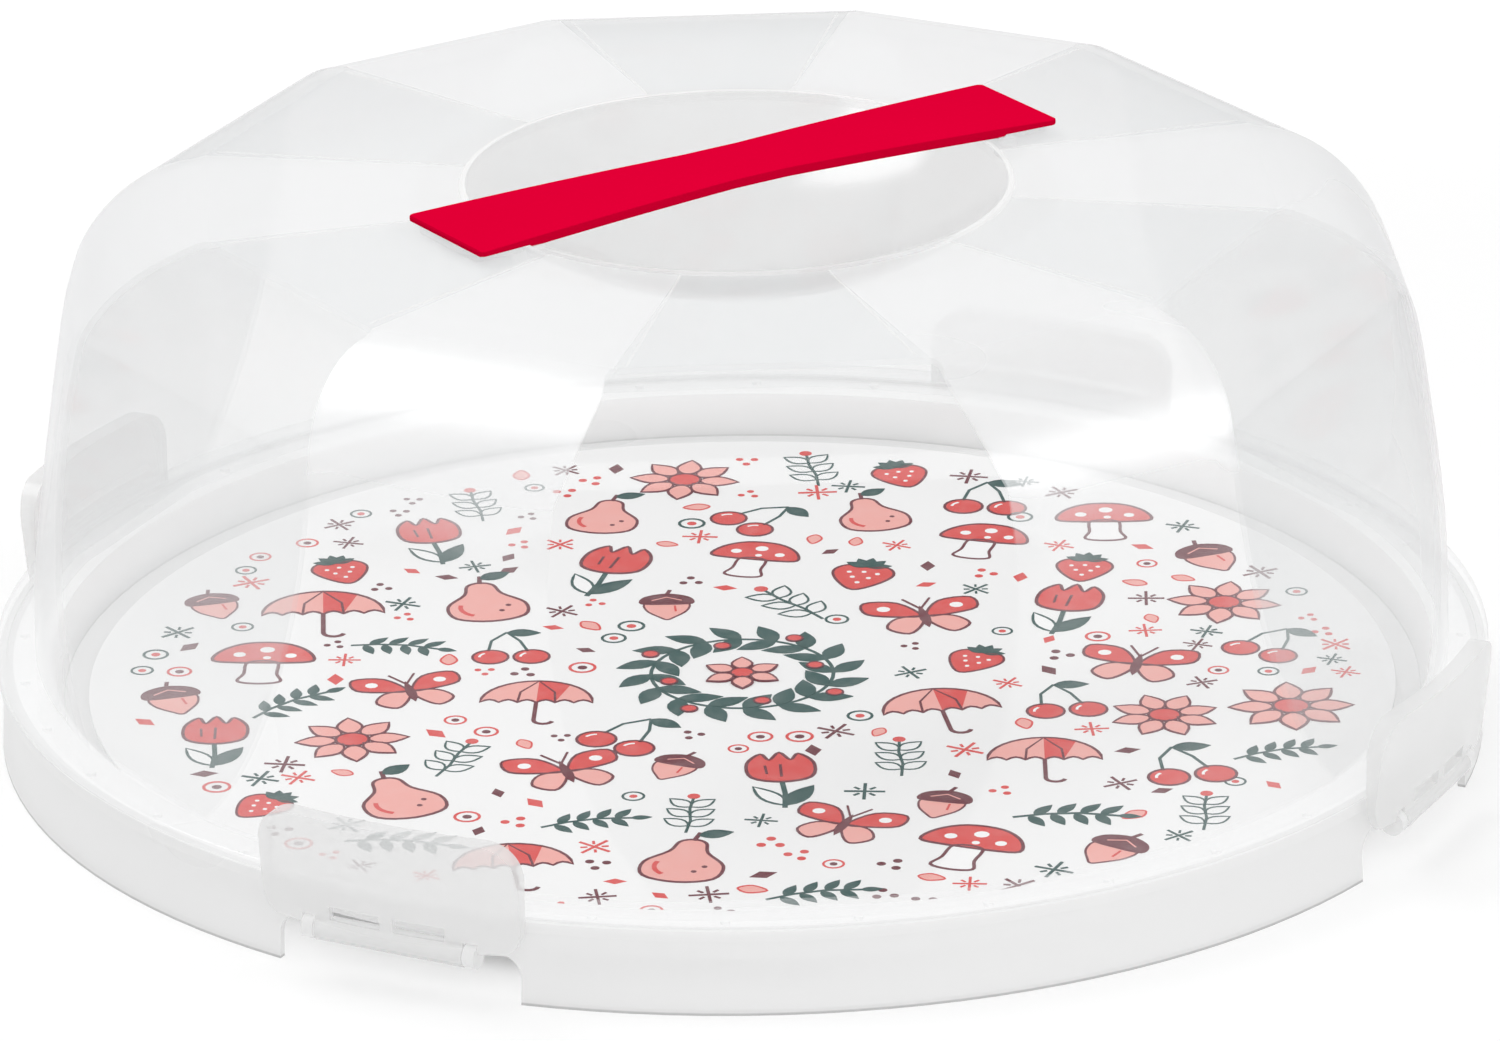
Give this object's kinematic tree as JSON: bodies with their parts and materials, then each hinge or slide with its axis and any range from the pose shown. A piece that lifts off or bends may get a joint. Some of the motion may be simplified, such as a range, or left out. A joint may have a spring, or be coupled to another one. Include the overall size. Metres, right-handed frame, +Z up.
{
  "type": "cake carrier",
  "caption": "Round cake carrier: clear faceted dome lid on a shallow round tray, with hinged side latches and a flat carrying handle over a finger recess.",
  "frame": {"origin": "centre of the tray's base on the table", "axes": "+Z up, +X through the middle of the right-hand latch, -Y through the middle of the front latch"},
  "size_m": [0.352, 0.352, 0.135],
  "materials": {
    "tray_plastic": "satin, slightly milky",
    "printed_floor": "satin film with a coloured pattern",
    "clear_lid": "gloss, clear, slightly hazy",
    "red_handle": "satin",
    "clear_latch": "gloss, clear"
  },
  "bodies": {
    "tray": {"tray": "tray_plastic", "floor_disc": "printed_floor"},
    "lid": {"lid": "clear_lid", "handle": "red_handle"},
    "latch_front": {"latch_front": "clear_latch"},
    "latch_right": {"latch_right": "clear_latch"},
    "latch_rear": {"latch_rear": "clear_latch"},
    "latch_left": {"latch_left": "clear_latch"}
  },
  "joints": [
    {"name": "latch_rear_hinge", "type": "hinge", "parent": "tray", "child": "latch_rear", "pos_m": [0, 0.1706, 0.011], "axis": [-1, 0, 0], "range_deg": [0, 90]},
    {"name": "lid_lift", "type": "slide", "parent": "latch_rear", "child": "lid", "axis": [0, 0, 1], "range_m": [0, 0.16]},
    {"name": "latch_front_hinge", "type": "hinge", "parent": "tray", "child": "latch_front", "pos_m": [0, -0.1706, 0.011], "axis": [1, 0, 0], "range_deg": [0, 95]},
    {"name": "latch_right_hinge", "type": "hinge", "parent": "tray", "child": "latch_right", "pos_m": [0.1706, 0, 0.011], "axis": [0, 1, 0], "range_deg": [0, 95]},
    {"name": "latch_left_hinge", "type": "hinge", "parent": "tray", "child": "latch_left", "pos_m": [-0.1706, 0, 0.011], "axis": [0, -1, 0], "range_deg": [0, 95]}
  ]
}
